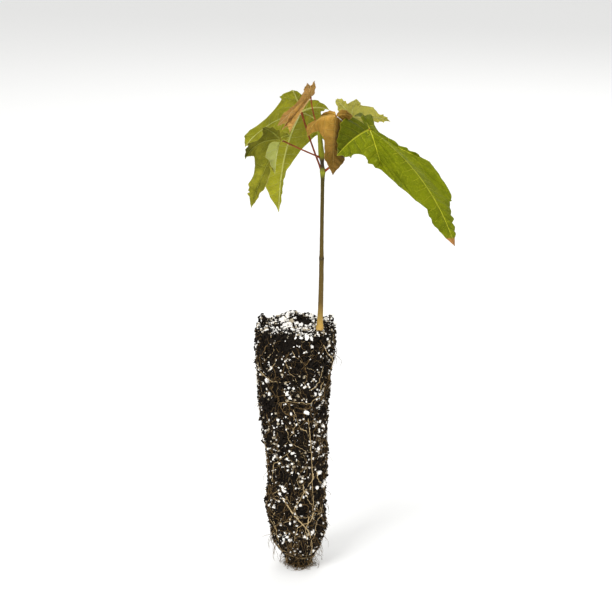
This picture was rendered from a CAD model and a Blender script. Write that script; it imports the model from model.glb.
"""A maple seedling standing on its root ball of peat, perlite and roots, in a plain pale studio."""

import logging
import math
from collections.abc import Iterator
from contextlib import contextmanager
from dataclasses import dataclass, field
from enum import Enum

import bpy
import numpy as np
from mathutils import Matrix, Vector, noise


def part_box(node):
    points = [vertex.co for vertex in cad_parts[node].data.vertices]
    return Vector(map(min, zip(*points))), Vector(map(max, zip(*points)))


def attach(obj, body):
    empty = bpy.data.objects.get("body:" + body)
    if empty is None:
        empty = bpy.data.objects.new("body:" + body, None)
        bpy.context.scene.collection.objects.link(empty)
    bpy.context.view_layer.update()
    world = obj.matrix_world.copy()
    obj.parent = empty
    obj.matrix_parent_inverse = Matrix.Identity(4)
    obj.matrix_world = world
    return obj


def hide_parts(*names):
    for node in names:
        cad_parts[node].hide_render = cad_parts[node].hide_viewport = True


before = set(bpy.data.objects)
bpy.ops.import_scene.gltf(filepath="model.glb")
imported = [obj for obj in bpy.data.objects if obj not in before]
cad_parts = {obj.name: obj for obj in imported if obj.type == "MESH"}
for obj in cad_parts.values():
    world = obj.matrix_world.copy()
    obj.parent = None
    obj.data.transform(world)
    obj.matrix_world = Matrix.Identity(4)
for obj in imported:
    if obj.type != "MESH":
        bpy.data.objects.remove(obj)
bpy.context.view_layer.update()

log = logging.getLogger("seedling")

MM = 0.001
BODY = "root"
# How side veins leave a midrib: backward slant, and bend for each millimetre away from it.
SLANT = 0.8
BEND = 0.012
Colour = tuple[float, float, float, float]
Triple = tuple[float, float, float]
Course = tuple[Triple, ...]
Pair = tuple[float, float]
Array = np.ndarray
Piece = bpy.types.Object
Material = bpy.types.Material
Socket = bpy.types.NodeSocket


def shade(red: float, green: float, blue: float) -> Colour:
    """Return an opaque linear colour."""
    return (red, green, blue, 1.0)


def unit(vectors: Array) -> Array:
    """Return vectors scaled to length one along their last axis."""
    lengths = np.linalg.norm(vectors, axis=-1, keepdims=True)
    return vectors / np.maximum(lengths, 1e-12)


def eased(low: float, high: float, values: Array) -> Array:
    """Return a smooth step from 0 at low to 1 at high.

    Args:
        low: Value at and below which the step is 0.
        high: Value at and above which the step is 1.
        values: Where the step is read.

    Returns:
        The step at each value.
    """
    share = np.clip((values - low) / (high - low), 0.0, 1.0)
    return share * share * (3.0 - 2.0 * share)


def turned(vectors: Array, axes: Array, degrees: float) -> Array:
    """Return vectors turned about unit axes that they are square to.

    Args:
        vectors: Rows of vectors.
        axes: A unit axis for each row.
        degrees: Angle of the turn.

    Returns:
        The turned rows.
    """
    angle = math.radians(degrees)
    return vectors * math.cos(angle) + np.cross(axes, vectors) * math.sin(angle)


# ---- Shader nodes ----


class Number:
    """A number socket whose Python operators add Math nodes."""

    def __init__(self, maker: "Maker", socket: Socket) -> None:
        """Wrap a socket of the maker's node tree."""
        self.maker = maker
        self.socket = socket

    def _math(self, operation: str, *values: object, clamp: bool = False) -> "Number":
        """Return the result of a Math node on some values."""
        settings = {"operation": operation, "use_clamp": clamp}
        node = self.maker.node("ShaderNodeMath", settings, dict(enumerate(values)))
        return Number(self.maker, node.outputs[0])

    def __add__(self, other: object) -> "Number":
        """Return self + other."""
        return self._math("ADD", self, other)

    __radd__ = __add__

    def __sub__(self, other: object) -> "Number":
        """Return self - other."""
        return self._math("SUBTRACT", self, other)

    def __rsub__(self, other: object) -> "Number":
        """Return other - self."""
        return self._math("SUBTRACT", other, self)

    def __mul__(self, other: object) -> "Number":
        """Return self * other."""
        return self._math("MULTIPLY", self, other)

    __rmul__ = __mul__

    def __truediv__(self, other: object) -> "Number":
        """Return self / other."""
        return self._math("DIVIDE", self, other)

    def __rtruediv__(self, other: object) -> "Number":
        """Return other / self."""
        return self._math("DIVIDE", other, self)

    def __pow__(self, other: object) -> "Number":
        """Return self to the power of other."""
        return self._math("POWER", self, other)

    def __abs__(self) -> "Number":
        """Return the size of self without its sign."""
        return self._math("ABSOLUTE", self)

    def fraction(self) -> "Number":
        """Return the part of self after the decimal point."""
        return self._math("FRACT", self)

    def clamped(self) -> "Number":
        """Return self kept between 0 and 1."""
        return self._math("ADD", self, 0.0, clamp=True)

    def most(self, other: object) -> "Number":
        """Return the larger of self and other."""
        return self._math("MAXIMUM", self, other)

    def step(self, low: float, high: float) -> "Number":
        """Return a smooth step of self, 0 at low and 1 at high (or the other way round)."""
        flipped = high < low
        first, last = (high, low) if flipped else (low, high)
        inputs = {"Value": self, "From Min": first, "From Max": last}
        node = self.maker.node("ShaderNodeMapRange", {"interpolation_type": "SMOOTHSTEP"}, inputs)
        result = Number(self.maker, node.outputs["Result"])
        return 1.0 - result if flipped else result


class Maker:
    """Adds nodes to one new material."""

    def __init__(self, name: str) -> None:
        """Start an empty material of that name."""
        self.material = bpy.data.materials.new(name)
        self.material.use_nodes = True
        self.tree = self.material.node_tree
        self.tree.nodes.clear()

    def node(
        self, kind: str, settings: dict[str, object], inputs: dict[object, object]
    ) -> bpy.types.Node:
        """Add a node.

        Args:
            kind: Blender's name of the node type.
            settings: Node properties, or "stops" for a colour ramp's stops. They are set first.
            inputs: Values or links by socket name or number.

        Returns:
            The new node.
        """
        made = self.tree.nodes.new(kind)
        for name, value in settings.items():
            if name == "stops":
                self._set_stops(made.color_ramp, value)
            else:
                setattr(made, name, value)
        for name, value in inputs.items():
            socket = made.inputs[name]
            source = value.socket if isinstance(value, Number) else value
            if isinstance(source, Socket):
                self.tree.links.new(source, socket)
            else:
                socket.default_value = source
        return made

    @staticmethod
    def _set_stops(ramp: bpy.types.ColorRamp, stops: list[tuple[float, Colour]]) -> None:
        """Give a colour ramp its stops."""
        while len(ramp.elements) > 1:
            ramp.elements.remove(ramp.elements[-1])
        ramp.elements[0].position, ramp.elements[0].color = stops[0]
        for place, colour in stops[1:]:
            ramp.elements.new(place).color = colour

    def place(self) -> Socket:
        """Return the Object coordinates."""
        return self.node("ShaderNodeTexCoord", {}, {}).outputs["Object"]

    def uv(self, name: str) -> Socket:
        """Return the coordinates of a named UV map."""
        return self.node("ShaderNodeUVMap", {"uv_map": name}, {}).outputs["UV"]

    def parts(self, vector: Socket) -> tuple[Number, Number, Number]:
        """Return the three components of a vector."""
        outputs = self.node("ShaderNodeSeparateXYZ", {}, {0: vector}).outputs
        return Number(self, outputs[0]), Number(self, outputs[1]), Number(self, outputs[2])

    def grain(self, vector: Socket, size: float, detail: float = 3.0, rough: float = 0.55) -> Number:
        """Return soft noise from 0 to 1.

        Args:
            vector: Coordinates that the noise lies in.
            size: Size of its blotches, in the units of the coordinates.
            detail: How many finer layers it has.
            rough: How strong the finer layers are.

        Returns:
            The noise.
        """
        inputs = {"Vector": vector, "Scale": 1.0 / size, "Detail": detail, "Roughness": rough}
        node = self.node("ShaderNodeTexNoise", {}, inputs)
        return Number(self, node.outputs[0])

    def net(self, vector: Socket, size: float, width: float) -> Number:
        """Return the lines of a net of irregular cells.

        Args:
            vector: Coordinates that the net lies in.
            size: Size of its cells, in the units of the coordinates.
            width: Width of the lines as a share of a cell.

        Returns:
            1 on the lines, 0 off them.
        """
        inputs = {"Vector": vector, "Scale": 1.0 / size}
        node = self.node("ShaderNodeTexVoronoi", {"feature": "DISTANCE_TO_EDGE"}, inputs)
        return Number(self, node.outputs["Distance"]).step(width, 0.0)

    def scaled(self, colour: object, factor: object) -> Socket:
        """Return a colour times a number."""
        node = self.node("ShaderNodeVectorMath", {"operation": "SCALE"}, {0: colour, 3: factor})
        return node.outputs[0]

    def mix(self, share: object, first: object, second: object) -> Socket:
        """Return a colour that goes from the first to the second as share goes from 0 to 1."""
        node = self.node("ShaderNodeMix", {"data_type": "RGBA"}, {0: share, 6: first, 7: second})
        return node.outputs[2]

    def ramp(self, share: Number, stops: list[tuple[float, Colour]]) -> Socket:
        """Return the colour of a ramp."""
        return self.node("ShaderNodeValToRGB", {"stops": stops}, {0: share}).outputs[0]

    def bump(self, height: Number, distance: float, strength: float = 1.0) -> Socket:
        """Return the normal that a height in units of distance gives."""
        inputs = {"Height": height, "Distance": distance, "Strength": strength}
        return self.node("ShaderNodeBump", {}, inputs).outputs[0]

    def finish(self, inputs: dict[object, object]) -> Material:
        """Close the material with a Principled shader.

        Args:
            inputs: Values or links of the shader's sockets.

        Returns:
            The material.
        """
        surface = self.node("ShaderNodeBsdfPrincipled", {}, inputs)
        self.node("ShaderNodeOutputMaterial", {}, {"Surface": surface.outputs[0]})
        return self.material


# ---- Finishes ----


@dataclass(frozen=True)
class LeafFinish:
    """One side of a leaf: blade between the veins, veins, margin and dried tips."""

    name: str
    dark: Colour
    light: Colour
    vein: Colour
    rim: Colour
    tip: Colour = shade(0.36, 0.17, 0.05)
    fade: float = 1.0
    vein_show: float = 0.9
    raised: bool = False
    spacing: float = 6.5
    roughness: float = 0.6
    glow: float = 0.05
    rib_width: float = 1.1
    branch_width: float = 0.36
    # Sizes in millimetres of the cells between the veins and of the fine mesh inside them.
    CELL = 2.3
    MESH = 0.75
    # How far out a dried lobe starts to brown and is brown, 1 being its tip.
    DRY_START = 0.935
    DRY_END = 0.955
    RELIEF = 0.9 * MM

    def make(self) -> Material:
        """Return the material, which reads the blade's own vein and reach maps."""
        maker = Maker(self.name)
        veins = maker.uv("veins")
        along, across, _ = maker.parts(veins)
        share, rim, _ = maker.parts(maker.uv("reach"))
        place = maker.place()
        wander = maker.grain(place, 6 * MM, 2.0) - 0.5
        branch = (along - across * SLANT + across * across * BEND) / self.spacing + wander * 0.35
        to_branch = abs(branch.fraction() - 0.5) * self.spacing
        thin = 1.0 - share * 0.7
        ribs = (across / (thin * self.rib_width)).step(1.0, 0.35)
        branches = (to_branch / (thin * self.branch_width)).step(1.0, 0.2) * across.step(16.0, 4.0)
        cells = maker.net(veins, self.CELL, 0.07)
        mesh = maker.net(veins, self.MESH, 0.12)
        show = ribs.most(branches * 0.75).most(cells * 0.24).most(mesh * 0.08)
        blotch = maker.grain(place, 9 * MM, 4.0, 0.6).step(0.3, 0.7)
        mottle = (blotch * 0.7 + maker.grain(place, 1.4 * MM, 3.0) * 0.5 - 0.1).clamped()
        colour = maker.mix(mottle, self.dark, self.light)
        tone, dry_share, _ = maker.parts(maker.uv("tones"))
        colour = maker.mix((show * self.vein_show).clamped(), colour, self.vein)
        colour = maker.scaled(colour, tone * (share.step(0.15, 0.75) * (self.fade - 1.0) + 1.0))
        colour = maker.mix(rim.step(0.93, 1.0) * 0.7, colour, self.rim)
        dried = (dry_share + wander * 0.03).step(self.DRY_START, self.DRY_END)
        colour = maker.mix(dried, colour, self.tip)
        pillow = (to_branch / self.spacing * 2.0).clamped()
        height = pillow * 0.5 - ribs * 0.6 - branches * 0.45 - cells * 0.22 - mesh * 0.08
        if self.raised:
            height = height * -1.0
        inputs = {
            "Base Color": colour,
            "Roughness": (mottle * 0.12 + (self.roughness - 0.06)).clamped(),
            "Normal": maker.bump(height + maker.grain(place, 0.5 * MM) * 0.1, self.RELIEF, 0.9),
            "Subsurface Weight": self.glow,
            "Subsurface Radius": (0.5, 0.8, 0.15),
            "Subsurface Scale": 1.2 * MM,
            "Specular IOR Level": 0.06,
        }
        return maker.finish(inputs)


@dataclass(frozen=True)
class BarkFinish:
    """Thin young bark whose colour changes up the stem, in stops of height in metres."""

    name: str
    stops: tuple[tuple[float, Colour], ...]
    streak: Colour
    roughness: float = 0.5

    def make(self) -> Material:
        """Return the material."""
        maker = Maker(self.name)
        place = maker.place()
        _, _, height = maker.parts(place)
        first, last = self.stops[0][0], self.stops[-1][0]
        share = (height - first) / (last - first)
        stops = [((at - first) / (last - first), colour) for at, colour in self.stops]
        mapping = {"Vector": place, "Scale": (1.0, 1.0, 0.12)}
        drawn = maker.node("ShaderNodeMapping", {}, mapping).outputs[0]
        streaks = maker.grain(drawn, 0.5 * MM, 4.0, 0.65)
        spots = maker.grain(place, 0.9 * MM, 2.0).step(0.66, 0.76)
        colour = maker.ramp(share, stops)
        colour = maker.mix(streaks.step(0.5, 0.75) * 0.6, colour, self.streak)
        colour = maker.mix(spots * 0.35, colour, shade(0.42, 0.33, 0.17))
        inputs = {
            "Base Color": colour,
            "Roughness": (streaks * 0.25 + (self.roughness - 0.12)).clamped(),
            "Specular IOR Level": 0.12,
            "Normal": maker.bump(streaks + spots * 0.5, 0.25 * MM, 0.7),
        }
        return maker.finish(inputs)


@dataclass(frozen=True)
class GrainFinish:
    """A dull crumb, grain, fibre or root in two close tones."""

    name: str
    dark: Colour
    light: Colour
    size: float
    roughness: float = 0.9
    relief: float = 0.3
    GLOSS = 0.15

    def make(self) -> Material:
        """Return the material."""
        maker = Maker(self.name)
        place = maker.place()
        broad = maker.grain(place, self.size * MM, 4.0, 0.65)
        fine = maker.grain(place, self.size * 0.2 * MM, 3.0, 0.6)
        colour = maker.mix((broad * 0.7 + fine * 0.5).step(0.4, 0.8), self.dark, self.light)
        inputs = {
            "Base Color": colour,
            "Roughness": (broad * 0.15 + (self.roughness - 0.08)).clamped(),
            "Specular IOR Level": self.GLOSS,
            "Normal": maker.bump(broad + fine * 0.6, self.relief * MM, 0.8),
        }
        return maker.finish(inputs)


def grain(name: str, dark: Triple, light: Triple, *settings: float) -> Material:
    """Return a new material of two close tones, with a grain finish's further settings."""
    return GrainFinish(name, shade(*dark), shade(*light), *settings).make()


# ---- Mesh helpers ----


@contextmanager
def editing() -> Iterator[None]:
    """Work on the active piece in edit mode."""
    bpy.ops.object.mode_set(mode="EDIT")
    yield
    bpy.ops.object.mode_set(mode="OBJECT")


def subdivided(piece: Piece, kind: str, levels: int = 3) -> None:
    """Add a subdivision of a kind, CATMULL_CLARK or SIMPLE."""
    smooth = piece.modifiers.new("Round", "SUBSURF")
    smooth.subdivision_type = kind
    smooth.levels = smooth.render_levels = levels


def only(piece: Piece) -> None:
    """Select one object alone and make it active."""
    bpy.ops.object.select_all(action="DESELECT")
    piece.select_set(True)
    bpy.context.view_layer.objects.active = piece


def apply_all(piece: Piece) -> None:
    """Apply every modifier of a piece in turn."""
    only(piece)
    for modifier in list(piece.modifiers):
        bpy.ops.object.modifier_apply(modifier=modifier.name)


def soften(piece: Piece, degrees: float = 60.0) -> None:
    """Shade a piece smooth but for edges sharper than an angle."""
    only(piece)
    bpy.ops.object.shade_smooth_by_angle(angle=math.radians(degrees))


def settle(piece: Piece, node: str, finishes: list[Material]) -> None:
    """Give a finished piece its materials and its place in the model.

    Args:
        piece: The piece, with its place in its mesh.
        node: The CAD node that it stands for.
        finishes: Its materials, in slot order.
    """
    slots = piece.data.materials
    for number, finish in enumerate(finishes):
        if number < len(slots):
            slots[number] = finish
        else:
            slots.append(finish)
    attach(piece, BODY)
    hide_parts(node)
    log.info("%s: %d faces", piece.name, len(piece.data.polygons))


def points_of(piece: Piece) -> Array:
    """Return a piece's vertices, one row each."""
    points = np.empty(len(piece.data.vertices) * 3)
    piece.data.vertices.foreach_get("co", points)
    return points.reshape(-1, 3)


def from_arrays(name: str, points: Array, faces: Array) -> Piece:
    """Make an object from arrays.

    Args:
        name: The object's name.
        points: Vertices, one row each, in metres.
        faces: Corner numbers, one row for each face, all of one length.

    Returns:
        The object, linked to the scene.
    """
    mesh = bpy.data.meshes.new(name)
    corners = faces.shape[1]
    mesh.vertices.add(len(points))
    mesh.vertices.foreach_set("co", points.astype(np.float32).ravel())
    mesh.loops.add(faces.size)
    mesh.loops.foreach_set("vertex_index", faces.astype(np.int32).ravel())
    mesh.polygons.add(len(faces))
    mesh.polygons.foreach_set("loop_start", np.arange(0, faces.size, corners, dtype=np.int32))
    mesh.update(calc_edges=True)
    mesh.validate()
    piece = bpy.data.objects.new(name, mesh)
    bpy.context.scene.collection.objects.link(piece)
    return piece


def tubes(name: str, paths: Array, radii: Array, side: Array) -> Piece:
    """Make one object of many thin tubes of four sides, closed at pointed ends.

    Args:
        name: The object's name.
        paths: Points along each tube, as tubes by points by 3.
        radii: Radius at each of those points.
        side: A way that each path never runs along, as tubes by 3.

    Returns:
        The object.
    """
    count, steps = radii.shape
    tangent = unit(np.gradient(paths, axis=1))
    first = unit(np.cross(tangent, side[:, None, :]))
    second = np.cross(tangent, first)
    turn = np.pi / 2 * np.arange(4)
    ring = first[:, :, None] * np.cos(turn)[:, None] + second[:, :, None] * np.sin(turn)[:, None]
    radii = radii.copy()
    radii[:, [0, -1]] *= 0.05
    points = paths[:, :, None] + ring * radii[:, :, None, None]
    number = np.arange(count * steps * 4).reshape(count, steps, 4)
    low, high = number[:, :-1], number[:, 1:]
    walls = np.stack([low, np.roll(low, -1, 2), np.roll(high, -1, 2), high], -1)
    ends = [number[:, 0, ::-1], number[:, -1]]
    faces = np.concatenate([walls.reshape(-1, 4)] + [end.reshape(-1, 4) for end in ends])
    return from_arrays(name, points.reshape(-1, 3), faces)


@dataclass(frozen=True)
class Pebble:
    """A small grain, angular or rounded, in several shapes that are copied and joined."""

    rounded: bool
    bumps: float
    shapes: int = 6
    # How many lumps a grain has across, and how far apart in the noise two shapes lie.
    LUMPS = 3.1
    APART = 7.3

    def _shape(self, number: int) -> tuple[Array, Array]:
        """Return the points and faces of one grain about a unit across."""
        bpy.ops.object.select_all(action="DESELECT")
        if self.rounded:
            bpy.ops.mesh.primitive_cube_add(size=1.0)
            with editing():
                bpy.ops.mesh.select_all(action="SELECT")
                bpy.ops.mesh.subdivide(number_cuts=1)
                bpy.ops.transform.tosphere(value=1.0)
        else:
            bpy.ops.mesh.primitive_ico_sphere_add(subdivisions=1, radius=0.5)
        ball = bpy.context.object
        points = points_of(ball)
        faces = np.array([list(face.vertices) for face in ball.data.polygons])
        bpy.data.meshes.remove(ball.data)
        shift = Vector((number * self.APART, 0, 0))
        swell = [noise.noise(Vector(p * self.LUMPS) + shift) for p in points]
        return points * (1.0 + self.bumps * np.array(swell))[:, None], faces

    def scattered(self, name: str, places: Array, sizes: Array, rng: np.random.Generator) -> Piece:
        """Make one object of many grains.

        Args:
            name: The object's name.
            places: Middle of each grain.
            sizes: Length, width and thickness of each grain.
            rng: Random numbers for shapes and turns.

        Returns:
            The object.
        """
        shapes = [self._shape(k) for k in range(self.shapes)]
        faces = shapes[0][1]
        which = rng.integers(0, self.shapes, len(places))
        base = np.stack([points for points, _ in shapes])[which]
        quaternions = unit(rng.normal(size=(len(places), 4)))
        w, x, y, z = quaternions.T
        turns = np.array(
            [
                [1 - 2 * (y * y + z * z), 2 * (x * y - z * w), 2 * (x * z + y * w)],
                [2 * (x * y + z * w), 1 - 2 * (x * x + z * z), 2 * (y * z - x * w)],
                [2 * (x * z - y * w), 2 * (y * z + x * w), 1 - 2 * (x * x + y * y)],
            ]
        ).transpose(2, 0, 1)
        points = np.einsum("nij,nkj->nki", turns, base * sizes[:, None, :]) + places[:, None, :]
        step = base.shape[1] * np.arange(len(places))
        corners = (faces[None] + step[:, None, None]).reshape(-1, faces.shape[1])
        return from_arrays(name, points.reshape(-1, 3), corners)


# ---- Leaves ----


@dataclass(frozen=True)
class Lobe:
    """One lobe of a blade, in millimetres, seen from the junction of stalk and blade.

    It reaches from the junction to its tip, rises by its bow above that line, and spreads by half
    to either side, turned down by fold degrees. The notch towards the next lobe lies that share
    of the way out, and the blade fills it as far as web says, 1 being straight across. A closed
    side runs straight from the notch to the tip, and bulges by its half. Each side's colour is
    scaled by its tone, and the tip of a dried lobe is browned.
    """

    reach: Triple
    bow: float
    half: Pair
    notch: float = 0.5
    web: float = 1.0
    fold: Pair = (0.0, 0.0)
    closed: tuple[bool, bool] = (False, False)
    tone: Pair = (1.0, 1.0)
    dried: bool = False

    def midrib(self, share: Array) -> Array:
        """Return points on the midrib: 0 at the junction, 1 at the tip."""
        reach = np.array(self.reach)
        rise = np.array([0.0, 0.0, 1.0]) - reach * reach[2] / reach.dot(reach)
        rise /= np.linalg.norm(rise)
        return share[:, None] * reach + (4 * self.bow * share * (1 - share))[:, None] * rise


@dataclass(frozen=True)
class Side:
    """One side of a lobe: its neighbour, the notch between them, its spread, and both tones."""

    neighbour: Lobe | None
    notch: float
    web: float
    half: float
    fold: float
    closed: bool
    tone: Pair
    hand: int


@dataclass
class Sheet:
    """A blade under construction: points, quads, and per-point maps."""

    points: list[Array] = field(default_factory=list)
    relief: list[Array] = field(default_factory=list)
    veins: list[Array] = field(default_factory=list)
    reach: list[Array] = field(default_factory=list)
    tones: list[Array] = field(default_factory=list)
    faces: list[Array] = field(default_factory=list)

    def count(self) -> int:
        """Return how many points there are so far."""
        return sum(len(points) for points in self.points)


@dataclass
class Leaf:
    """A lobed blade: web rows to the notches, lobe rows to the tips, veins, teeth and ripples."""

    name: str
    lobes: list[Lobe]
    upper: LeafFinish
    under: LeafFinish
    slot: str
    teeth: int = 3
    tooth: float = 1.0
    ripple: float = 0.7
    pucker: float = 0.25
    cup: float = 0.08
    seed: int = 1
    nick: tuple[int, int, float, float] | None = None
    web_rows: int = 22
    lobe_rows: int = 44
    columns: int = 14
    thickness: float = 0.26
    # A lobe is widest this share of the way out, and its shoulders are fuller by this share.
    WIDEST = 0.25
    SHOULDER = 0.35
    STEP = 0.01
    # Points in the same cell, of this many to a millimetre, are welded.
    WELD = 2000
    # Depth and half width of the midrib's groove and scale of the margin's waves, in millimetres.
    GROOVE = 0.35
    GROOVE_WIDTH = 0.7
    LONG_WAVE = 3.4
    SHORT_WAVE = 1.9

    def web_point(self, lobe: Lobe, side: Side, share: Array) -> Array:
        """Return points on the web between a lobe and its neighbour, out to the notch."""
        middle = (lobe.midrib(share) + side.neighbour.midrib(share)) / 2
        return middle * (1 + (side.web - 1) * share / side.notch)[:, None]

    def spread(self, past: Array, start: float) -> Array:
        """Return how wide half a lobe is.

        Args:
            past: How far out, from the notch (0) to the tip (1).
            start: Width at the notch as a share of the full half width.

        Returns:
            Widths as shares of the full half width.
        """
        rising = start + (1 - start) * np.sin(np.pi / 2 * np.clip(past / self.WIDEST, 0, 1))
        fall = np.clip((past - self.WIDEST) / (1 - self.WIDEST), 0, 1)
        return rising * (1 - fall) * (1 + self.SHOULDER * np.sin(np.pi * fall))

    def serration(self, past: Array, offset: float) -> Array:
        """Return how far the teeth stand out of the smooth margin, in millimetres."""
        phase = np.mod(past * (self.teeth + 0.5) + offset, 1.0)
        saw = np.where(phase < 0.8, (phase / 0.8) ** 1.7, (1 - phase) / 0.2)
        return self.tooth * (saw - 0.35) * np.sin(np.pi * np.clip(past, 0, 1) ** 0.8)

    def margin(self, lobe: Lobe, side: Side, share: Array, toothed: bool) -> Array:
        """Return points on the margin of one side of a lobe.

        The blade spreads towards the neighbouring lobe, or away from the leaf's own tip beside the
        stalk's gap, turned about the midrib by the side's fold.

        Args:
            lobe: The lobe.
            side: Its side.
            share: How far out along the lobe each point lies.
            toothed: Whether the margin has its teeth.

        Returns:
            The points.
        """
        rib = lobe.midrib(share)
        tangent = unit(lobe.midrib(share + self.STEP) - lobe.midrib(share - self.STEP))
        alone = side.neighbour is None
        toward = -np.array(self.lobes[2].reach) if alone else np.array(side.neighbour.reach)
        across = unit(toward - tangent * (tangent @ toward)[:, None])
        across = turned(across, tangent, side.hand * side.fold)
        notch = 0.0 if alone else side.notch
        past = np.clip((share - notch) / (1 - notch), 0, 1)
        teeth = self.serration(past, 0.2 * side.hand + 0.13 * self.seed) if toothed else 0.0
        if toothed and self.nick and self.nick[:2] == (self.lobes.index(lobe), side.hand):
            _, _, at, depth = self.nick
            teeth = teeth - depth * np.exp(-(((past - at) / 0.025) ** 2))
        if alone:
            return rib + across * (side.half * self.spread(past, 0.0) + teeth)[:, None]
        at_notch = np.array([side.notch])
        dip = (self.web_point(lobe, side, at_notch) - lobe.midrib(at_notch))[0]
        depth = np.linalg.norm(dip)
        if side.closed:
            chord = self.web_point(lobe, side, at_notch) * (1 - past)[:, None]
            chord = chord + np.array(lobe.reach) * past[:, None]
            free = chord + dip / depth * (side.half * np.sin(np.pi * past) + teeth)[:, None]
        else:
            way = unit(dip / depth + (across - dip / depth) * eased(0.0, 0.4, past)[:, None])
            free = rib + way * (side.half * self.spread(past, depth / side.half) + teeth)[:, None]
        on_web = (share <= side.notch + 1e-9)[:, None]
        return np.where(on_web, self.web_point(lobe, side, share), free)

    def sides(self, number: int) -> tuple[Side, Side]:
        """Return both sides of a lobe."""
        lobe = self.lobes[number]
        before = self.lobes[number - 1] if number else None
        after = self.lobes[number + 1] if number + 1 < len(self.lobes) else None
        gap = before if before else lobe
        tones = (lobe.tone[0], before.tone[1] if before else lobe.tone[0])
        half, fold, closed = lobe.half, lobe.fold, lobe.closed
        first = Side(before, gap.notch, gap.web, half[0], fold[0], closed[0], tones, -1)
        tones = (lobe.tone[1], after.tone[0] if after else lobe.tone[1])
        return first, Side(after, lobe.notch, lobe.web, half[1], fold[1], closed[1], tones, 1)

    def half_lobe(self, sheet: Sheet, number: int, side: Side) -> None:
        """Add one side of a lobe to the sheet, in rows outwards and columns from the midrib."""
        lobe = self.lobes[number]
        inner = np.linspace(0, side.notch, self.web_rows, endpoint=False)
        share = np.concatenate([inner, np.linspace(side.notch, 1, self.lobe_rows)])
        rib = lobe.midrib(share)
        edge = self.margin(lobe, side, share, True)
        edge[[0, -1]] = rib[[0, -1]]
        column = np.linspace(0, 1, self.columns)
        way = edge - rib
        width = np.linalg.norm(way, axis=1)
        points = rib[:, None] + way[:, None] * column[None, :, None]
        steps = np.linalg.norm(np.diff(rib, axis=0), axis=1)
        along = np.concatenate([[0], np.cumsum(steps)])[:, None] + np.zeros_like(column)[None]
        across = width[:, None] * column[None]
        low, high = (side.notch - 0.08, side.notch + 0.12) if side.neighbour else (0, 0.2)
        free = eased(low, high, share)
        fade = 1 - (1 - free)[:, None] * column[None] ** 3
        relief = self.relief_of(along, across, share, column, width, free) * fade
        first = sheet.count()
        rows, columns = len(share), self.columns
        sheet.points.append(points.reshape(-1, 3))
        sheet.relief.append(relief.ravel())
        sheet.veins.append(np.stack([along, across], -1).reshape(-1, 2))
        outward = np.broadcast_to(share[:, None], along.shape)
        rim = column[None] * free[:, None]
        sheet.reach.append(np.stack([outward, rim], -1).reshape(-1, 2))
        own, beside = side.tone
        tone = own + (beside - own) / 2 * column[None] * (1 - free)[:, None]
        sheet.tones.append(np.stack([tone, outward * float(lobe.dried)], -1).reshape(-1, 2))
        grid = first + np.arange(rows * columns).reshape(rows, columns)
        a, b, c, d = grid[:-1, :-1], grid[:-1, 1:], grid[1:, 1:], grid[1:, :-1]
        order = [a, d, c, b] if side.hand > 0 else [a, b, c, d]
        sheet.faces.append(np.stack(order, -1).reshape(-1, 4))

    def relief_of(
        self, along: Array, across: Array, share: Array, column: Array, width: Array, free: Array
    ) -> Array:
        """Return how far each point stands above the plain blade, in millimetres.

        Args:
            along: Distance out along the midrib.
            across: Distance from the midrib.
            share: How far out each row lies.
            column: How far from the midrib to the margin each column lies.
            width: Width of each row.
            free: 0 where a row ends on the web, 1 where it ends on the margin.

        Returns:
            Heights along the upper side's normal.
        """
        branch = np.mod((along - across * SLANT + across**2 * BEND) / self.upper.spacing, 1.0)
        pillow = np.abs(branch - 0.5) * 2
        outward = (0.7 + 0.8 * share) * (1 - eased(0.85, 1.0, share))
        strength = eased(0.3, 2.5, across) * outward[:, None]
        quilt = self.pucker * (pillow**0.6 - 0.5) * strength * 2
        rib = -self.GROOVE * np.exp(-((across / self.GROOVE_WIDTH) ** 2)) * (1 - 0.7 * share)[:, None]
        wave = np.sin(along / self.LONG_WAVE + self.seed * 1.7)
        wave = wave + 0.6 * np.sin(along / self.SHORT_WAVE + self.seed)
        calm = (1 - eased(0.9, 1.0, share))[:, None]
        ruffle = self.ripple * wave * column[None] ** 2 * free[:, None] * calm
        arch = self.cup * width[:, None] * np.sin(np.pi * column[None]) * free[:, None]
        return quilt + rib + ruffle + arch

    def plain_low(self) -> Array:
        """Return the lowest corner of the plain blade's box, seen from its junction."""
        share = np.linspace(0, 1, 10)
        corners = [np.zeros((1, 3))]
        for number, lobe in enumerate(self.lobes):
            corners.append(lobe.midrib(share))
            corners += [self.margin(lobe, side, share[1:-1], False) for side in self.sides(number)]
        return np.concatenate(corners).min(axis=0)

    def build(self) -> Piece:
        """Make the blade.

        Returns:
            The leaf, closed, with its upper and under sides in their own finishes.
        """
        sheet = Sheet()
        for number in range(len(self.lobes)):
            for side in self.sides(number):
                self.half_lobe(sheet, number, side)
        points = np.concatenate(sheet.points)
        spots = np.round(points * self.WELD).astype(np.int64)
        _, keep, weld = np.unique(spots, axis=0, return_index=True, return_inverse=True)
        weld = weld.reshape(-1)
        loose = np.concatenate(sheet.faces)
        faces = weld[loose]
        sound = np.array([len(set(face)) == 4 for face in faces.tolist()])
        relief = np.bincount(weld, np.concatenate(sheet.relief)) / np.bincount(weld)
        points = points[keep]
        points = self.raised(points, faces, relief)
        low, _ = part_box(self.name)
        place = np.array(low) + np.array([self.thickness] * 3) * MM - self.plain_low() * MM
        piece = self.woven(points * MM + place, faces, sound, loose, sheet)
        settle(piece, self.name, [self.upper.make(), self.under.make()])
        return piece

    @staticmethod
    def raised(points: Array, faces: Array, relief: Array) -> Array:
        """Return points moved by their relief along the blade's normals."""
        corners = points[faces]
        normals = np.cross(corners[:, 2] - corners[:, 0], corners[:, 3] - corners[:, 1])
        total = np.zeros_like(points)
        for k in range(4):
            np.add.at(total, faces[:, k], normals)
        return points + unit(total) * relief[:, None]

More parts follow.
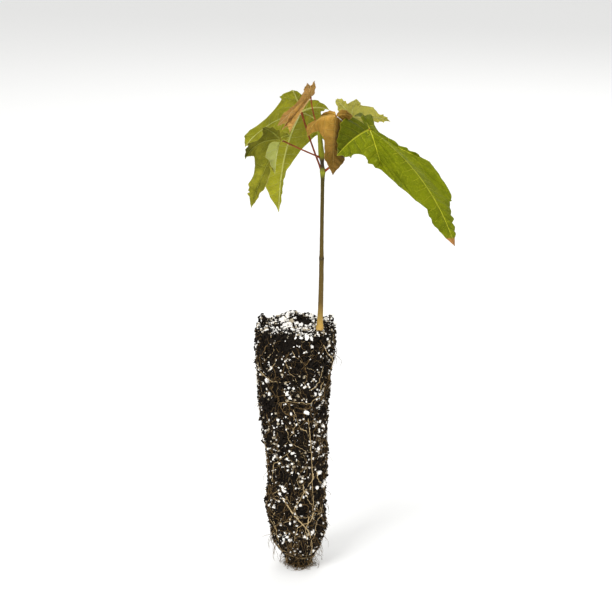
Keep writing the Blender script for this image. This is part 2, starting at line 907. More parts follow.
    def woven(self, points: Array, faces: Array, sound: Array, loose: Array, sheet: Sheet) -> Piece:
        """Make the mesh with its maps and its thickness.

        Args:
            points: Welded points in metres.
            faces: Quads of welded points, some with corners that meet.
            sound: Which quads keep four corners.
            loose: The same quads before welding, for the maps.
            sheet: The maps of the loose points.

        Returns:
            The blade as a closed solid.
        """
        corners = []
        sources = []
        for face, source, whole in zip(faces.tolist(), loose.tolist(), sound.tolist()):
            kept = [k for k in range(4) if whole or face[k] != face[k - 1]]
            if len(kept) > 2:
                corners.append([face[k] for k in kept])
                sources += [source[k] for k in kept]
        name = self.name.replace("leaf", "blade")
        mesh = bpy.data.meshes.new(name)
        mesh.from_pydata(points.tolist(), [], corners)
        for label, rows in (("veins", sheet.veins), ("reach", sheet.reach), ("tones", sheet.tones)):
            layer = mesh.uv_layers.new(name=label)
            layer.uv.foreach_set("vector", np.concatenate(rows)[sources].astype(np.float32).ravel())
        mesh.validate()
        piece = bpy.data.objects.new(name, mesh)
        bpy.context.scene.collection.objects.link(piece)
        for side in (self.upper, self.under):
            mesh.materials.append(bpy.data.materials.new(f"{name}_{side.name}"))
        body = piece.modifiers.new("Thickness", "SOLIDIFY")
        body.thickness = self.thickness * MM
        body.offset = 0.0
        body.material_offset = 1
        body.material_offset_rim = 1
        apply_all(piece)
        soften(piece, 75.0)
        return piece


def leaf_tone(name: str, *colours: Triple, **settings: float) -> LeafFinish:
    """Return a leaf finish from its dark, light, vein and rim colours and further settings."""
    return LeafFinish(name, *(shade(*colour) for colour in colours), **settings)


LEAF_TONES = {
    "rich": leaf_tone(
        "leaf_rich_upper",
        (0.112, 0.142, 0.0012), (0.195, 0.225, 0.0022), (0.62, 0.63, 0.04), (0.26, 0.24, 0.010),
        fade=0.88,
    ),
    "rich_under": leaf_tone(
        "leaf_rich_under",
        (0.17, 0.20, 0.03), (0.25, 0.28, 0.06), (0.40, 0.42, 0.13), (0.28, 0.28, 0.06),
        raised=True, roughness=0.7,
    ),
    "olive": leaf_tone(
        "leaf_olive_upper",
        (0.082, 0.084, 0.004), (0.25, 0.235, 0.014), (0.33, 0.33, 0.05), (0.33, 0.24, 0.04),
        spacing=5.5, fade=0.78,
    ),
    "olive_under": leaf_tone(
        "leaf_olive_under",
        (0.26, 0.275, 0.055), (0.35, 0.365, 0.10), (0.42, 0.44, 0.16), (0.34, 0.33, 0.1),
        raised=True, roughness=0.7, spacing=5.5,
    ),
    "pale": leaf_tone(
        "leaf_pale_upper",
        (0.22, 0.22, 0.035), (0.36, 0.34, 0.07), (0.46, 0.45, 0.12), (0.33, 0.30, 0.07),
        spacing=5.5,
    ),
    "pale_under": leaf_tone(
        "leaf_pale_under",
        (0.37, 0.335, 0.05), (0.50, 0.46, 0.09), (0.52, 0.50, 0.14), (0.46, 0.41, 0.12),
        raised=True, roughness=0.7, spacing=5.5,
    ),
    "spring": leaf_tone(
        "leaf_spring_upper",
        (0.13, 0.15, 0.006), (0.21, 0.225, 0.014), (0.38, 0.39, 0.06), (0.28, 0.26, 0.03)
    ),
    "spring_under": leaf_tone(
        "leaf_spring_under",
        (0.168, 0.168, 0.006), (0.285, 0.275, 0.014), (0.48, 0.48, 0.13), (0.33, 0.31, 0.05),
        raised=True, roughness=0.7, vein_show=0.95, fade=1.12,
    ),
    "bronze": leaf_tone(
        "leaf_bronze_upper",
        (0.20, 0.108, 0.012), (0.40, 0.215, 0.04), (0.44, 0.27, 0.06), (0.48, 0.25, 0.07),
        spacing=4.5, fade=0.55,
    ),
    "bronze_under": leaf_tone(
        "leaf_bronze_under",
        (0.10, 0.072, 0.006), (0.19, 0.13, 0.02), (0.27, 0.19, 0.04), (0.30, 0.19, 0.05),
        raised=True, spacing=4.5,
    ),
    "blush": leaf_tone(
        "leaf_blush_upper",
        (0.28, 0.145, 0.028), (0.40, 0.225, 0.06), (0.45, 0.29, 0.10), (0.48, 0.28, 0.09),
        spacing=4.0,
    ),
    "blush_under": leaf_tone(
        "leaf_blush_under",
        (0.28, 0.145, 0.032), (0.39, 0.22, 0.065), (0.45, 0.29, 0.11), (0.48, 0.29, 0.10),
        raised=True, spacing=4.0,
    ),
}


def leaves() -> list[Leaf]:
    """Return the six leaves, in pairs up the stem, each counter-clockwise from its stalk's gap."""
    tones = LEAF_TONES
    return [
        Leaf("leaf_a", [
            Lobe((-20, -27, -10.5), 2, (13, 7), 0.7, 1.15, tone=(0.48, 1.0)),
            Lobe((7, -15, -22), 1, (9.5, 3.2), 0.75, 1.42, closed=(False, True)),
            Lobe((50.5, -24, -66), 8, (3.8, 1.2), 0.7, 1.47, closed=(True, True), tone=(0.92, 1.0),
                 dried=True),
            Lobe((37, 16, -23), -1.5, (9.5, 2), 0.4, 1.0, (0, 60), (True, False), (1.05, 1.05)),
            Lobe((-9, 13, 5.5), 3, (8, 4), fold=(20, 0), tone=(0.7, 0.6)),
        ], tones["rich"], tones["rich_under"], "leaf_mature", seed=2, pucker=0.72),
        Leaf("leaf_b", [
            Lobe((-10, -12, 14), 1, (6, 3), 0.5, 1.3),
            Lobe((3, -2, 12.5), 1, (5.5, 5), 0.6, 1.7),
            Lobe((25, 26, -7), 2, (2.6, 3), 0.5, 1.2),
            Lobe((17, 12, -11), 1, (3, 4), 0.5, 1.0),
            Lobe((6, -6, -8), 1, (4, 4)),
        ], tones["pale"], tones["pale_under"], "leaf_mature", seed=5),
        Leaf("leaf_c", [
            Lobe((-9, 6, -1.5), 1, (2.5, 3), 0.6, 1.2, tone=(1.5, 1.5)),
            Lobe((-17, -8, -11), 5, (4, 5), 0.6, 1.1, tone=(1.8, 1.7)),
            Lobe((-2, -18, -32), 5, (5.5, 11.5), 0.5, 1.0, tone=(1.05, 0.85)),
            Lobe((9, 7, -15), 2, (4, 4), 0.6, 1.3),
            Lobe((10, -6, 1), 1, (3, 3)),
        ], tones["bronze"], tones["bronze_under"], "leaf_young", seed=3, tooth=0.6),
        Leaf("leaf_d", [
            Lobe((2.5, -3, 10.3), 0.5, (3, 4), 0.5, 1.2),
            Lobe((-17, -10, -18), 0.6, (4, 3.5), 0.7, 1.1, tone=(1.25, 1.25)),
            Lobe((-12.5, -14, -19), 0.6, (4, 3), 0.7, 1.15, tone=(1.3, 1.3)),
            Lobe((-20, 2, -18), 0.5, (3, 3.5), 0.6, 1.2, tone=(1.2, 1.2)),
            Lobe((-2, 5, 7.5), 0.5, (4, 3)),
        ], tones["blush"], tones["blush_under"], "leaf_young", seed=4, tooth=0.4),
        Leaf("leaf_e", [
            Lobe((17, -6, 2.5), 2, (6, 5), 0.5, 1.3),
            Lobe((18.5, 24, -27), 5, (6, 5), 0.55, 1.15),
            Lobe((-14.3, 24, -68.5), 7, (3.2, 15), 0.45, 1.25),
            Lobe((-35, 12, -24), 4, (8.5, 5), 0.75, 1.25),
            Lobe((-5.3, -8, 15), 0.5, (9, 6)),
        ], tones["spring"], tones["spring_under"], "leaf_mature", seed=6),
        Leaf("leaf_f", [
            Lobe((-10.5, 6, 6), 1, (3, 5), 0.6, 1.15, tone=(0.6, 0.6)),
            Lobe((-21, 2, -12.5), 4, (3.8, 5), 0.6, 1.15, tone=(0.65, 0.8)),
            Lobe((-17, -20, -37), 2, (6, 7.2), 0.5, 1.1, tone=(1.5, 1.1)),
            Lobe((-3, -14, -18), 2, (4, 7), 0.3, 1.0, (0, 150)),
            Lobe((6, 1, 2), 1, (3, 3)),
        ], tones["olive"], tones["olive_under"], "leaf_mature", seed=7, tooth=1.3,
            nick=(2, -1, 0.52, 1.5)),
    ]


# ---- Stem and stalks ----


def column(name: str, stations: list[tuple[Vector, float]], corners: int) -> Piece:
    """Draw out a column from a disc, as by hand: extrude, move and scale for each station.

    Args:
        name: The object's name.
        stations: Middle and radius of each level section, from the bottom up.
        corners: Corners of a section.

    Returns:
        The closed column.
    """
    bpy.ops.object.select_all(action="DESELECT")
    middle, radius = stations[0]
    bpy.ops.mesh.primitive_circle_add(
        vertices=corners, radius=radius, fill_type="NGON", location=middle
    )
    piece = bpy.context.object
    piece.name = piece.data.name = name
    with editing():
        bpy.ops.mesh.select_all(action="SELECT")
        for following, wider in stations[1:]:
            bpy.ops.mesh.extrude_region_move(TRANSFORM_OT_translate={"value": following - middle})
            growth = (wider / radius, wider / radius, 1)
            bpy.ops.transform.resize(value=growth, center_override=following)
            middle, radius = following, wider
        bpy.ops.mesh.select_all(action="SELECT")
        bpy.ops.mesh.normals_make_consistent(inside=False)
    bpy.ops.object.transform_apply(location=True, rotation=True, scale=True)
    return piece


def roughen(piece: Piece, kind: str, size: float, height: float, name: str) -> None:
    """Add a displacement by a procedural texture.

    Args:
        piece: The piece.
        kind: Blender's name of the texture type.
        size: Size of the texture's features in metres.
        height: How far it moves the surface, in metres.
        name: Name of the texture and modifier.
    """
    texture = bpy.data.textures.new(name, kind)
    texture.noise_scale = size
    modifier = piece.modifiers.new(name, "DISPLACE")
    modifier.texture = texture
    modifier.texture_coords = "LOCAL"
    modifier.strength = height
    modifier.mid_level = 0.5


@dataclass
class Stem:
    """The young trunk: root flare, ring scar, two collars and the green shoot.

    Heights are in millimetres above its flat cut, and the table holds height, sideways drift to
    +X and +Y, and radius.
    """

    node: str = "stem"
    corners: int = 16
    course: tuple[tuple[float, float, float, float], ...] = (
        (0, 0, 0, 2.7), (2, 0.05, 0.1, 2.35), (5, 0.15, 0.2, 1.95), (10, 0.4, 0.4, 1.7),
        (24, 0.85, 1.0, 1.58), (41, 1.05, 1.8, 1.48), (43.6, 1.08, 2.2, 1.46), (44.8, 1.08, 2.3, 1.62),
        (45.6, 1.1, 2.4, 1.7), (46.4, 1.1, 2.45, 1.45), (48, 1.1, 2.5, 1.3), (60, 1.2, 3.2, 1.22),
        (80, 1.45, 4.1, 1.16), (93, 1.65, 4.6, 1.16), (97, 1.7, 4.75, 1.45), (98.6, 1.7, 4.8, 1.85),
        (99.6, 1.7, 4.85, 1.9), (100.8, 1.6, 4.9, 1.5), (102.2, 1.55, 5.0, 1.12), (105.4, 1.3, 5.2, 1.15),
        (107, 1.1, 5.3, 1.75), (109, 0.95, 5.4, 2.0), (113, 0.6, 5.4, 1.75), (120, 0, 5.5, 1.4),
        (127, -0.9, 5.6, 1.1), (130.4, -1.4, 5.6, 0.7),
    )

    def build(self) -> Piece:
        """Make the stem with its bark."""
        low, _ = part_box(self.node)
        flare = self.course[0][3] * MM
        foot = Vector((low[0] + flare, low[1] + flare, low[2]))
        stations = [(foot + Vector((dx, dy, up)) * MM, girth * MM) for up, dx, dy, girth in self.course]
        piece = column("bark", stations, self.corners)
        subdivided(piece, "CATMULL_CLARK")
        roughen(piece, "CLOUDS", 1.6 * MM, 0.22 * MM, "swelling")
        roughen(piece, "CLOUDS", 0.5 * MM, 0.07 * MM, "grain")
        apply_all(piece)
        soften(piece)
        settle(piece, self.node, [self.finish(low[2]).make()])
        return piece

    @staticmethod
    def finish(base: float) -> BarkFinish:
        """Return the bark, whose stops rise from the height of the stem's base."""
        tones = (
            (0.0, (0.62, 0.38, 0.11)), (3.0, (0.50, 0.31, 0.07)), (9.0, (0.30, 0.19, 0.045)),
            (18.0, (0.11, 0.068, 0.016)), (44.0, (0.085, 0.055, 0.010)), (45.5, (0.035, 0.025, 0.010)),
            (47.0, (0.090, 0.058, 0.010)), (80.0, (0.062, 0.042, 0.006)), (95.0, (0.05, 0.04, 0.004)),
            (98.5, (0.24, 0.26, 0.018)), (100.5, (0.15, 0.15, 0.02)), (102.0, (0.035, 0.025, 0.010)),
            (106.0, (0.035, 0.024, 0.010)), (109.0, (0.20, 0.20, 0.010)), (130.4, (0.24, 0.25, 0.02)),
        )
        stops = tuple((base + up * MM, shade(*colour)) for up, colour in tones)
        return BarkFinish("young_bark", stops, shade(0.075, 0.05, 0.02))


class Start(Enum):
    """Where a leaf stalk leaves the stem: height above the soil in millimetres."""

    LOWER = 99.2
    UPPER = 107.7
    SHOOT = 127.7


@dataclass
class Stalk:
    """A long thin leaf stalk, swollen where it leaves the stem and where it meets the blade."""

    letter: str
    start: Start
    bow: float
    thickness: float = 0.5
    steps: int = 14
    # How much thicker each end is, and how far that reaches as a share of the length.
    FOOT_SWELL = 0.7
    FOOT_REACH = 0.06
    HEAD_SWELL = 0.4
    HEAD_REACH = 0.05

    def build(self, axis: Array, junction: Array, finish: Material) -> Piece:
        """Make the stalk.

        Args:
            axis: Point of the stem's axis that it leaves from.
            junction: Where it meets the blade.
            finish: Its material.

        Returns:
            The stalk.
        """
        outward = unit(junction - axis) * np.array([1, 1, 0])
        begin = axis + unit(outward) * 1.0 * MM
        share = np.linspace(0, 1, self.steps)[:, None]
        middle = (begin + junction) / 2 + unit(outward) * self.bow * MM
        path = begin * (1 - share) ** 2 + middle * 2 * share * (1 - share) + junction * share**2
        foot = self.FOOT_SWELL * np.exp(-share[:, 0] / self.FOOT_REACH)
        swell = foot + self.HEAD_SWELL * np.exp(-(1 - share[:, 0]) / self.HEAD_REACH)
        bpy.ops.object.select_all(action="DESELECT")
        bpy.ops.curve.primitive_nurbs_path_add()
        piece = bpy.context.object
        curve = piece.data
        curve.splines.clear()
        spline = curve.splines.new("NURBS")
        spline.points.add(self.steps - 1)
        for point, at, wide in zip(spline.points, path, swell):
            point.co = (*at, 1.0)
            point.radius = 1 + wide
        spline.use_endpoint_u = True
        spline.order_u = 4
        spline.resolution_u = 6
        curve.bevel_depth = self.thickness * MM
        curve.bevel_resolution = 3
        curve.use_fill_caps = True
        bpy.ops.object.convert(target="MESH")
        piece = bpy.context.object
        piece.name = piece.data.name = f"petiole_{self.letter}"
        roughen(piece, "CLOUDS", 2.5 * MM, 0.12 * MM, f"knots_{self.letter}")
        apply_all(piece)
        soften(piece)
        settle(piece, f"stalk_{self.letter}", [finish])
        return piece


# ---- Root ball ----


@dataclass
class RootBall:
    """The plug of peat: a crumbling core under crumbs, perlite, fibres and roots.

    The taper holds height above the foot as a share of the soil's height, radius as a share of the
    widest radius, and sideways drift in millimetres.
    """

    node: str = "root_ball"
    taper: tuple[tuple[float, float, float], ...] = (
        (0.0, 0.25, 2.2), (0.03, 0.31, 1.6), (0.062, 0.43, 1.5), (0.106, 0.60, 0.9), (0.17, 0.68, 1.3),
        (0.256, 0.755, -0.8), (0.30, 0.73, 0.0), (0.36, 0.715, 0.6), (0.53, 0.775, -0.3), (0.61, 0.815, -0.6),
        (0.69, 0.865, -1.9), (0.82, 0.91, -1.4), (0.92, 0.985, -0.6), (1.0, 0.99, 0.0),
    )
    # Mounds on the soil: place to +X and +Y as shares of the rim radius, height and spread in mm.
    mounds: tuple[tuple[float, float, float, float], ...] = (
        (-0.85, 0.25, 5.0, 4.0), (-0.1, 0.62, 4.6, 5.5), (0.3, 0.55, 3.0, 4.0), (0.88, 0.3, 4.5, 3.6),
        (-0.55, 0.5, -2.5, 4.5), (0.62, -0.45, -0.8, 5.0), (-0.3, -0.6, 1.0, 5.0),
    )
    # Roots that stand out: thickness, then angle in degrees, height and distance out of the side.
    leaders: tuple[tuple[float, Course], ...] = (
        (0.85, ((-120, 52, 0.6), (-100, 45, 1.0), (-80, 35, 1.2), (-60, 22, 1.1), (-50, 10, 0.8))),
        (0.45, ((-72, 29, 1.2), (-66, 19, 1.0), (-64, 9, 0.9))),
        (0.55, ((-65, 106, 0.4), (-60, 80, 1.0), (-56, 56, 0.9), (-56, 36, 0.6))),
        (0.45, ((-150, 134, 0.6), (-125, 130, 1.0), (-95, 131, 0.7))),
        (0.50, ((-150, 60, 0.7), (-135, 74, 1.0), (-96, 85, 0.6))),
        (0.45, ((-64, 124, 0.6), (-46, 128, 1.1), (-42, 141, 0.7))),
    )
    # Loose roots that leave the side, in the same terms.
    loose: tuple[tuple[float, Course], ...] = (
        (0.30, ((-10, 146, 0.4), (-6, 139, 1.6), (-12, 126, 0.8), (-12, 114, 0.2))),
        (0.30, ((-170, 27, 0.5), (-177, 14, 3.2), (-172, 4, 6.5))),
        (0.32, ((-25, 16, 0.5), (-6, 10, 4.0), (-3, 6, 7.0))),
        (0.26, ((-175, 137, 0.2), (-178, 139, 4.0))),
        (0.30, ((-178, 112, 0.2), (-176, 90, 1.4), (-174, 70, 0.3))),
        (0.34, ((-20, 114, 0.3), (-10, 88, 1.2), (-28, 54, 0.4))),
        (0.30, ((-120, 22, 0.6), (-100, 12, 1.4), (-88, 1, 2.5))),
        (0.34, ((60, 120, 0.5), (70, 84, 1.2), (78, 50, 0.9), (74, 22, 1.2))),
        (0.30, ((130, 140, 0.4), (120, 112, 1.0), (128, 84, 1.2), (118, 60, 0.6))),
    )
    seed: int = 11
    # How far the core lies under the plain side, above the floor, and the soil under its level.
    SKIN = 0.7 * MM
    FOOT = 0.4 * MM
    DROP = 0.6 * MM
    RIM = 0.6 * MM
    # Smallest grain, and height of one wave of the side's unevenness, in millimetres.
    LEAST = 0.3
    UNEVEN = 0.35
    DRAWN_STEPS = 60
    HAIR_STEPS = 12

    def __post_init__(self) -> None:
        """Take the sizes from the frame."""
        low, high = (np.array(corner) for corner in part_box(self.node))
        self.middle = (low + high) / 2
        self.radius = (high[0] - low[0]) / 2 - self.RIM
        self.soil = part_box("stem")[0][2]
        self.rng = np.random.default_rng(self.seed)

    def girth(self, height: Array) -> Array:
        """Return the plain radius at heights in metres."""
        table = np.array(self.taper)
        return np.interp(height / self.soil, table[:, 0], table[:, 1]) * self.radius

    def drift(self, height: Array) -> Array:
        """Return the sideways drift at heights in metres."""
        table = np.array(self.taper)
        return np.interp(height / self.soil, table[:, 0], table[:, 2]) * MM

    def on_side(self, turn: Array, height: Array, out: Array) -> Array:
        """Return points on the side.

        Args:
            turn: Angles about the upright axis.
            height: Heights above the foot.
            out: How far the points stand out of the plain surface.

        Returns:
            The points.
        """
        reach = self.girth(height) + self.swell(turn, height) + out
        x = reach * np.cos(turn) + self.drift(height)
        return np.stack([x, reach * np.sin(turn), height], -1)

    def swell(self, turn: Array, height: Array) -> Array:
        """Return the broad unevenness of the side."""
        high = height / MM
        waves = np.sin(3 * turn + high / 9) + np.sin(5 * turn - high / 6 + 1)
        waves = waves + np.sin(9 * turn + high / 3)
        return waves * self.UNEVEN * MM

    def surface(self, x: Array, y: Array) -> Array:
        """Return the height of the soil's surface at level places."""
        height = np.full(np.shape(x), self.soil - self.DROP)
        for right, back, rise, wide in self.mounds:
            apart = (x - right * self.radius) ** 2 + (y - back * self.radius) ** 2
            height = height + rise * MM * np.exp(-apart / (wide * MM) ** 2)
        return height

    def core(self) -> Piece:
        """Make the dark crumbling core."""
        shares = np.linspace(0, 1, 30)
        heights = shares * (self.soil - 1.2 * MM)
        stations = []
        for z in heights:
            middle = Vector((float(self.drift(z)), 0, float(z) + (self.FOOT if z == 0 else 0)))
            stations.append((middle, float(self.girth(z)) - self.SKIN))
        piece = column("peat_core", stations, 36)
        with editing():
            bpy.ops.mesh.select_all(action="DESELECT")
        cap = max(piece.data.polygons, key=lambda face: face.center.z)
        cap.select = True
        with editing():
            for _ in range(7):
                bpy.ops.mesh.inset(thickness=3.0 * MM)
        subdivided(piece, "SIMPLE")
        roughen(piece, "CLOUDS", 6 * MM, 1.6 * MM, "lumps")
        roughen(piece, "CLOUDS", 1.6 * MM, 1.5 * MM, "crumble")
        apply_all(piece)
        self.heap(piece)
        soften(piece, 80)
        return piece

    def heap(self, piece: Piece) -> None:
        """Raise the top of the core into its mounds and keep its foot level."""
        points = points_of(piece)
        top = eased(self.soil - 4 * MM, self.soil - 1.5 * MM, points[:, 2])
        points[:, 2] += top * (self.surface(points[:, 0], points[:, 1]) - self.soil)
        points[:, 2] = np.maximum(points[:, 2], 0.3 * MM)
        piece.data.vertices.foreach_set("co", points.ravel())
        piece.data.update()

    def side_places(self, count: int, spread: float) -> Array:
        """Return random places on the side, as many to each bit of its area."""
        turn = self.rng.uniform(0, 2 * np.pi, count)
        height = self.rng.uniform(0, 1, count) ** 0.85 * (self.soil - 0.5 * MM)
        out = self.rng.normal(0, spread, count) * MM
        return self.on_side(turn, height, out)

    def top_places(self, count: int, spread: float) -> Array:
        """Return random places on the soil's surface."""
        turn = self.rng.uniform(0, 2 * np.pi, count)
        reach = np.sqrt(self.rng.uniform(0, 1, count)) * self.radius * 0.99
        x, y = reach * np.cos(turn), reach * np.sin(turn)
        z = self.surface(x, y) + self.rng.normal(0.2, spread, count) * MM
        return np.stack([x, y, z], -1)

    def lifted(self, places: Array, sizes: Array) -> Array:
        """Return places lifted so that no grain dips below the foot."""
        lowest = np.max(sizes, axis=1) * 0.98
        places[:, 2] = np.maximum(places[:, 2], lowest)
        return places

    def walks(self, spread: float, count: int, steps: int) -> Array:
        """Return random walks, as rows of steps, that end about a spread away from zero."""
        return self.rng.normal(0, spread, (count, steps)).cumsum(axis=1) / math.sqrt(steps)

    def grain_sizes(self, count: int, size: float, vary: float, flat: Pair, most: float) -> Array:
        """Return random lengths, widths and thicknesses of grains.

        Args:
            count: How many grains there are.
            size: Their usual size in millimetres.
            vary: How much the sizes vary.
            flat: Least and most share of its size that each way of a grain takes.
            most: Largest length in millimetres.

        Returns:
            A row of three sizes for each grain, in metres.
        """
        usual = self.rng.lognormal(math.log(size), vary, (count, 1))
        sizes = usual * self.rng.uniform(*flat, (count, 3))
        return np.clip(sizes, self.LEAST, most) * MM

    def crumbs(self, name: str, side: int, top: int, size: float) -> Piece:
        """Make peat crumbs.

        Args:
            name: The piece's name.
            side: How many lie on the side.
            top: How many lie on the surface.
            size: Their usual size in millimetres.

        Returns:
            The piece.
        """
        places = np.concatenate([self.side_places(side, 0.45), self.top_places(top, 0.4)])
        sizes = self.grain_sizes(len(places), size, 0.35, (0.5, 1.2), 3.2)
        return Pebble(False, 0.9).scattered(name, self.lifted(places, sizes), sizes, self.rng)

    def perlite(self, name: str, side: int, top: int, size: float, deep: float) -> Piece:
        """Make white perlite grains.

        Args:
            name: The piece's name.
            side: How many lie on the side.
            top: How many lie on the surface.
            size: Their usual size in millimetres.
            deep: How far the side's grains are sunk, in millimetres.

        Returns:
            The piece.
        """
        spots = np.concatenate([self.side_places(3 * side, 0.3), self.top_places(3 * top, 0.4)])
        clumps = np.array([noise.noise(Vector(spot) / (9 * MM)) for spot in spots])
        thick = clumps + self.rng.normal(0, 0.5, len(spots))
        on_side, on_top = thick[: 3 * side], thick[3 * side :]
        chosen = [np.argsort(-on_side)[:side], 3 * side + np.argsort(-on_top)[:top]]
        places = spots[np.concatenate(chosen)]
        places[:side, :2] *= 1 - deep * MM / self.radius
        sizes = self.grain_sizes(len(places), size, 0.45, (0.6, 1.15), 3.0)
        return Pebble(True, 0.7).scattered(name, self.lifted(places, sizes), sizes, self.rng)

    def strands(
        self, name: str, count: int, length: Pair, radius: Pair, steps: int, wander: float,
        upright: float, out: Pair,
    ) -> Piece:
        """Make roots or fibres that creep over the side.

        Args:
            name: The piece's name.
            count: How many there are.
            length: Shortest and longest, in millimetres.
            radius: Thinnest and thickest, in millimetres.
            steps: Points along each.
            wander: How much they wind.
            upright: How closely they keep to the vertical, from 0 to 1.
            out: Least and most distance out of the side, in millimetres.

        Returns:
            The piece.
        """
        rng = self.rng
        lengths = rng.uniform(*length, count) * MM
        heading = rng.normal(0, 1, count) * (1 - upright) * 1.6 - np.pi / 2
        drift = self.walks(wander, count, steps)
        kinks = rng.normal(0, wander * 0.35, (count, steps))
        angle = heading[:, None] + drift + kinks
        stride = (lengths / steps)[:, None]
        climb = np.cumsum(np.sin(angle) * stride, axis=1)
        height = rng.uniform(0.02, 1.0, count)[:, None] ** 0.9 * self.soil + climb
        height = np.clip(height, 1.2 * MM, self.soil - 0.3 * MM)
        around = np.cumsum(np.cos(angle) * stride, axis=1) / self.girth(height)
        turn = rng.uniform(0, 2 * np.pi, count)[:, None] + around
        weave = self.walks(0.5, count, steps)
        lift = (rng.uniform(*out, count)[:, None] + weave) * MM
        paths = self.on_side(turn, height, lift)
        paths[:, :, 2] = np.maximum(paths[:, :, 2], 0.6 * MM)
        thick = rng.uniform(0, 1, count) ** 2 * (radius[1] - radius[0]) + radius[0]
        taper = np.linspace(1.0, 0.35, steps)[None] * (1 + 0.15 * rng.normal(0, 1, (count, steps)))
        side = np.stack([np.cos(turn[:, 0]), np.sin(turn[:, 0]), np.zeros(count)], -1)
        return tubes(name, paths, thick[:, None] * taper * MM, side)

    def drawn(self, name: str, roots: tuple[tuple[float, Course], ...]) -> Piece:
        """Make roots that follow courses of their own.

        Args:
            name: The piece's name.
            roots: Thickness and course of each.

        Returns:
            The piece.
        """
        steps = self.DRAWN_STEPS
        share = np.linspace(0, 1, steps)
        paths = []
        for _, course in roots:
            stops = np.linspace(0, 1, len(course))
            turn, height, out = (np.interp(share, stops, column) for column in np.array(course).T)
            jitter = self.walks(1, 3, steps)
            jitter -= np.linspace(jitter[:, 0], jitter[:, -1], steps, axis=1)
            turn = np.radians(turn + 4 * jitter[0])
            height = np.maximum(height + 1.2 * jitter[1], 0.6) * MM
            paths.append(self.on_side(turn, height, (out + 0.3 * jitter[2]) * MM))
        paths = np.stack(paths)
        thick = np.array([thickness for thickness, _ in roots])
        taper = np.linspace(1.0, 0.4, steps) * (1 + 0.12 * self.rng.normal(0, 1, (len(roots), steps)))
        middle = paths.mean(axis=1) * (1.0, 1.0, 0.0)
        return tubes(name, paths, thick[:, None] / 2 * taper * MM, unit(middle))

    def hairs(self, name: str, count: int) -> Piece:
        """Make loose root ends that stand off the side, mostly low down."""
        rng = self.rng
        steps = self.HAIR_STEPS
        height = self.soil * rng.uniform(0.0, 1.0, count) ** 2.2
        turn = rng.uniform(0, 2 * np.pi, count)
        start = self.on_side(turn, np.maximum(height, 2 * MM), np.full(count, -0.5 * MM))
        outward = np.stack([np.cos(turn), np.sin(turn), np.zeros(count)], -1)
        aside = np.stack([-np.sin(turn), np.cos(turn), np.zeros(count)], -1)
        lengths = rng.uniform(3, 13, count) * MM
        swing = self.walks(0.8, count, steps)
        share = np.linspace(0, 1, steps)
        leave = rng.uniform(0.12, 0.5, count)[:, None] * np.sin(share * 2.2)[None]
        paths = start[:, None] + outward[:, None] * (leave * lengths[:, None])[:, :, None]
        paths = paths + aside[:, None] * (swing * share * lengths[:, None] * 0.5)[:, :, None]
        paths[:, :, 2] -= share[None] * lengths[:, None] * rng.uniform(0.3, 1.0, count)[:, None]
        paths[:, :, 2] = np.maximum(paths[:, :, 2], 0.5 * MM)
        radii = rng.uniform(0.08, 0.2, count)[:, None] * np.linspace(1, 0.5, steps)[None] * MM
        return tubes(name, paths, radii, outward)

    def build(self) -> None:
        """Make and dress the whole root ball."""
        peat = grain("peat", (0.002, 0.0015, 0.001), (0.010, 0.007, 0.004), 2.5, 0.95)
        crumb = grain("peat_crumb", (0.002, 0.0015, 0.001), (0.014, 0.009, 0.005), 1.5, 0.95)
        brown = grain("bark_crumb", (0.010, 0.006, 0.003), (0.09, 0.055, 0.022), 1.2, 0.9)
        white = grain("perlite", (0.88, 0.85, 0.78), (1.0, 0.98, 0.94), 0.9, 0.9, 0.05)
        grey = grain("perlite_dusty", (0.20, 0.16, 0.10), (0.62, 0.54, 0.40), 0.9, 0.9, 0.15)
        root = grain("root", (0.36, 0.24, 0.10), (0.70, 0.54, 0.30), 1.5, 0.7)
        old = grain("root_brown", (0.05, 0.028, 0.010), (0.22, 0.14, 0.055), 1.5, 0.8)
        for piece, finish in (
            (self.core(), peat),
            (self.crumbs("crumbs_dark", 7900, 1400, 1.6), crumb),
            (self.crumbs("crumbs_brown", 1500, 380, 0.8), brown),
            (self.perlite("perlite_white", 1450, 1000, 0.86, 0.0), white),
            (self.perlite("perlite_dusty", 800, 420, 0.75, 0.1), grey),
            (self.drawn("root_leaders", self.leaders), root),
            (self.drawn("roots_loose", self.loose), old),
            (self.strands("roots_pale", 56, (14, 50), (0.14, 0.34), 44, 1.0, 0.7, (0.3, 1.1)), root),
            (self.strands("roots_brown", 260, (10, 50), (0.12, 0.36), 30, 1.2, 0.6, (0.1, 1.0)), old),
            (self.strands("fibres", 680, (3, 12), (0.06, 0.16), 10, 1.2, 0.2, (0.1, 1.0)), old),
            (self.strands("fibres_pale", 260, (2, 8), (0.06, 0.14), 10, 1.2, 0.2, (0.2, 1.0)), root),
            (self.hairs("root_hairs", 420), old),
        ):
            settle(piece, self.node, [finish])


# ---- Studio ----


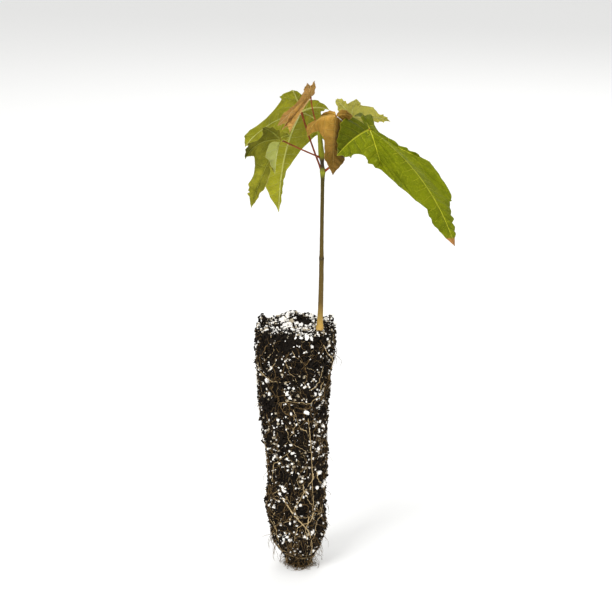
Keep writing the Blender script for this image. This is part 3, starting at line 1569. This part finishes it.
@dataclass
class Studio:
    """Pale floor, soft light and the camera."""

    aim: Triple = (6.2 * MM, 0.0, 172.7 * MM)
    distance: float = 1.25
    elevation: float = 16.0
    lens: float = 118.6
    floor_size: float = 7.0
    daylight: float = 0.8
    sensor: float = 36.0
    nearest: float = 0.01
    # Name, place, size and power of each light.
    lights: tuple[tuple[str, Triple, float, float], ...] = (
        ("key", (-0.8, -1.1, 1.5), 0.8, 20.0),
        ("fill", (0.7, -1.5, 0.5), 0.8, 8.0),
        ("back", (0.3, 1.4, 1.3), 1.2, 8.0),
    )

    def floor(self) -> None:
        """Lay a wide pale floor."""
        bpy.ops.object.select_all(action="DESELECT")
        bpy.ops.mesh.primitive_plane_add(size=self.floor_size)
        ground = bpy.context.object
        ground.name = "floor"
        maker = Maker("floor_paper")
        paper = {"Base Color": shade(0.93, 0.93, 0.92), "Roughness": 0.9, "Specular IOR Level": 0.1}
        ground.data.materials.append(maker.finish(paper))

    def light(self, name: str, place: Triple, size: float, power: float) -> None:
        """Hang a soft square light that faces the plant."""
        bpy.ops.object.light_add(type="AREA", location=place)
        lamp = bpy.context.object
        lamp.name = name
        lamp.data.size = size
        lamp.data.energy = power
        aim = Vector(self.aim) - Vector(place)
        lamp.rotation_euler = aim.to_track_quat("-Z", "Y").to_euler()

    def world(self) -> None:
        """Fill the room with even white light."""
        world = bpy.data.worlds.new("room")
        world.use_nodes = True
        background = world.node_tree.nodes["Background"]
        background.inputs["Color"].default_value = shade(1.0, 1.0, 1.0)
        background.inputs["Strength"].default_value = self.daylight
        bpy.context.scene.world = world

    def camera(self) -> None:
        """Set up the camera."""
        tilt = math.radians(self.elevation)
        x, y, z = self.aim
        bpy.ops.object.camera_add(
            location=(x, y - self.distance * math.cos(tilt), z + self.distance * math.sin(tilt)),
            rotation=(math.pi / 2 - tilt, 0, 0),
        )
        eye = bpy.context.object
        eye.data.lens = self.lens
        eye.data.sensor_width = self.sensor
        eye.data.clip_start = self.nearest
        bpy.context.scene.camera = eye

    def build(self) -> None:
        """Set the whole studio up."""
        bpy.context.scene.view_settings.view_transform = "Standard"
        self.floor()
        self.world()
        for settings in self.lights:
            self.light(*settings)
        self.camera()


def stem_axis(height: float) -> Array:
    """Return the point of the stem's axis at a height in millimetres above its cut."""
    low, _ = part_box("stem")
    course = np.array(Stem.course)
    flare = course[0, 3]
    right = np.interp(height, course[:, 0], course[:, 1]) + flare
    back = np.interp(height, course[:, 0], course[:, 2]) + flare
    return np.array(low) + np.array([right, back, height]) * MM


def main() -> None:
    """Build the seedling and the studio, and note the model's size."""
    logging.basicConfig(level=logging.INFO, format="%(message)s")
    stalks = {
        "leaf_a": Stalk("a", Start.LOWER, 3, 0.55),
        "leaf_b": Stalk("b", Start.UPPER, 2),
        "leaf_c": Stalk("c", Start.SHOOT, 1, 0.42),
        "leaf_d": Stalk("d", Start.SHOOT, 1, 0.42),
        "leaf_e": Stalk("e", Start.LOWER, 2, 0.55),
        "leaf_f": Stalk("f", Start.UPPER, 1),
    }
    red = grain("stalk_red", (0.12, 0.018, 0.006), (0.30, 0.075, 0.015), 6.0, 0.5, 0.05)
    Stem().build()
    for leaf in leaves():
        leaf.build()
        low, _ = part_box(leaf.name)
        junction = np.array(low) + leaf.thickness * MM - leaf.plain_low() * MM
        stalk = stalks[leaf.name]
        stalk.build(stem_axis(stalk.start.value), junction, red)
    RootBall().build()
    Studio().build()


if __name__ == "__main__":
    main()
